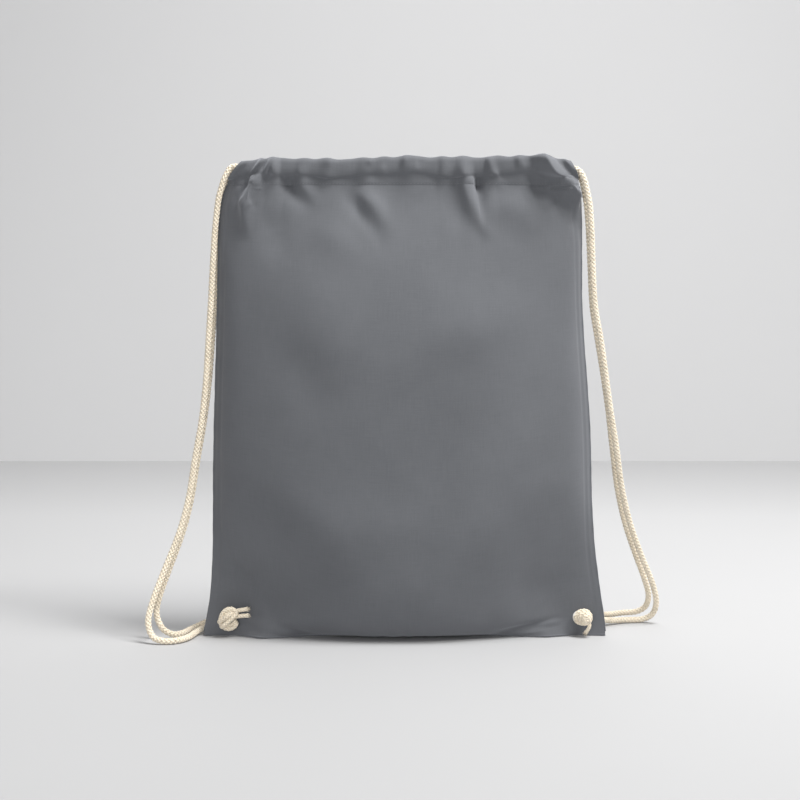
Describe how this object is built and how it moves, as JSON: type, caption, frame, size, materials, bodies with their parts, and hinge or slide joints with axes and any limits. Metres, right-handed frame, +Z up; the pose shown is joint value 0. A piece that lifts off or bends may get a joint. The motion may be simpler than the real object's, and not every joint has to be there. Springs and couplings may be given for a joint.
{
  "type": "drawstring backpack",
  "caption": "Flat cotton drawstring backpack that stands open on its base, with a corded casing round its mouth and cord loops tied off through eyelets in its lower corners.",
  "frame": {"origin": "middle of the base, on the surface that the bag stands on", "axes": "+Z up, front of the bag towards -Y, +X to the right when the front is seen"},
  "size_m": [0.496, 0.1328, 0.455],
  "materials": {
    "cotton": "plain-woven grey cotton, matte",
    "cord": "braided undyed cotton, matte",
    "eyelet_metal": "nickel-plated, satin"
  },
  "bodies": {
    "bag": {"left_side_seam": "cotton", "right_side_seam": "cotton", "bottom_seam": "cotton", "left_corner": "cotton", "right_corner": "cotton", "left_eyelet": "eyelet_metal", "right_eyelet": "eyelet_metal", "left_eyelet_washer": "eyelet_metal", "right_eyelet_washer": "eyelet_metal", "left_cord_turn": "cord", "right_cord_turn": "cord"},
    "front": {"front_panel": "cotton", "front_casing": "cotton", "left_cord_front_run": "cord", "right_cord_front_run": "cord"},
    "back": {"back_panel": "cotton", "back_casing": "cotton", "left_cord_back_run": "cord", "right_cord_back_run": "cord"},
    "left_sling": {"left_strap_front_rise": "cord", "left_strap_back_rise": "cord"},
    "left_draw": {"left_strap_front_loop": "cord", "left_strap_back_loop": "cord"},
    "right_sling": {"right_strap_front_rise": "cord", "right_strap_back_rise": "cord"},
    "right_draw": {"right_strap_front_loop": "cord", "right_strap_back_loop": "cord"},
    "left_tie": {"left_knot": "cord", "left_knot_tails": "cord", "left_cord_neck": "cord"},
    "right_tie": {"right_knot": "cord", "right_knot_tails": "cord", "right_cord_neck": "cord"}
  },
  "joints": [
    {"name": "mouth_front", "type": "hinge", "parent": "bag", "child": "front", "pos_m": [0, -0.028, 0.002], "axis": [1, 0, 0], "range_deg": [0, 12]},
    {"name": "mouth_back", "type": "hinge", "parent": "bag", "child": "back", "pos_m": [0, 0.028, 0.002], "axis": [-1, 0, 0], "range_deg": [0, 12]},
    {"name": "left_strap_swing", "type": "hinge", "parent": "bag", "child": "left_sling", "pos_m": [-0.168, 0.004, 0.018], "axis": [-0.0046, 0.0093, -0.9999], "range_deg": [0, 50]},
    {"name": "left_strap_pull", "type": "slide", "parent": "left_sling", "child": "left_draw", "axis": [-1, 0, 0], "range_m": [0, 0.06]},
    {"name": "right_strap_swing", "type": "hinge", "parent": "bag", "child": "right_sling", "pos_m": [0.168, 0.004, 0.018], "axis": [-0.0047, -0.0094, 0.9999], "range_deg": [0, 45]},
    {"name": "right_strap_pull", "type": "slide", "parent": "right_sling", "child": "right_draw", "axis": [1, 0, 0], "range_m": [0, 0.06]},
    {"name": "left_knot_slip", "type": "slide", "parent": "bag", "child": "left_tie", "axis": [0, -1, 0], "range_m": [0, 0.02]},
    {"name": "right_knot_slip", "type": "slide", "parent": "bag", "child": "right_tie", "axis": [0, -1, 0], "range_m": [0, 0.02]}
  ],
  "couplings": [
    {"joint": "mouth_back", "follows": "mouth_front", "ratio": 1}
  ]
}
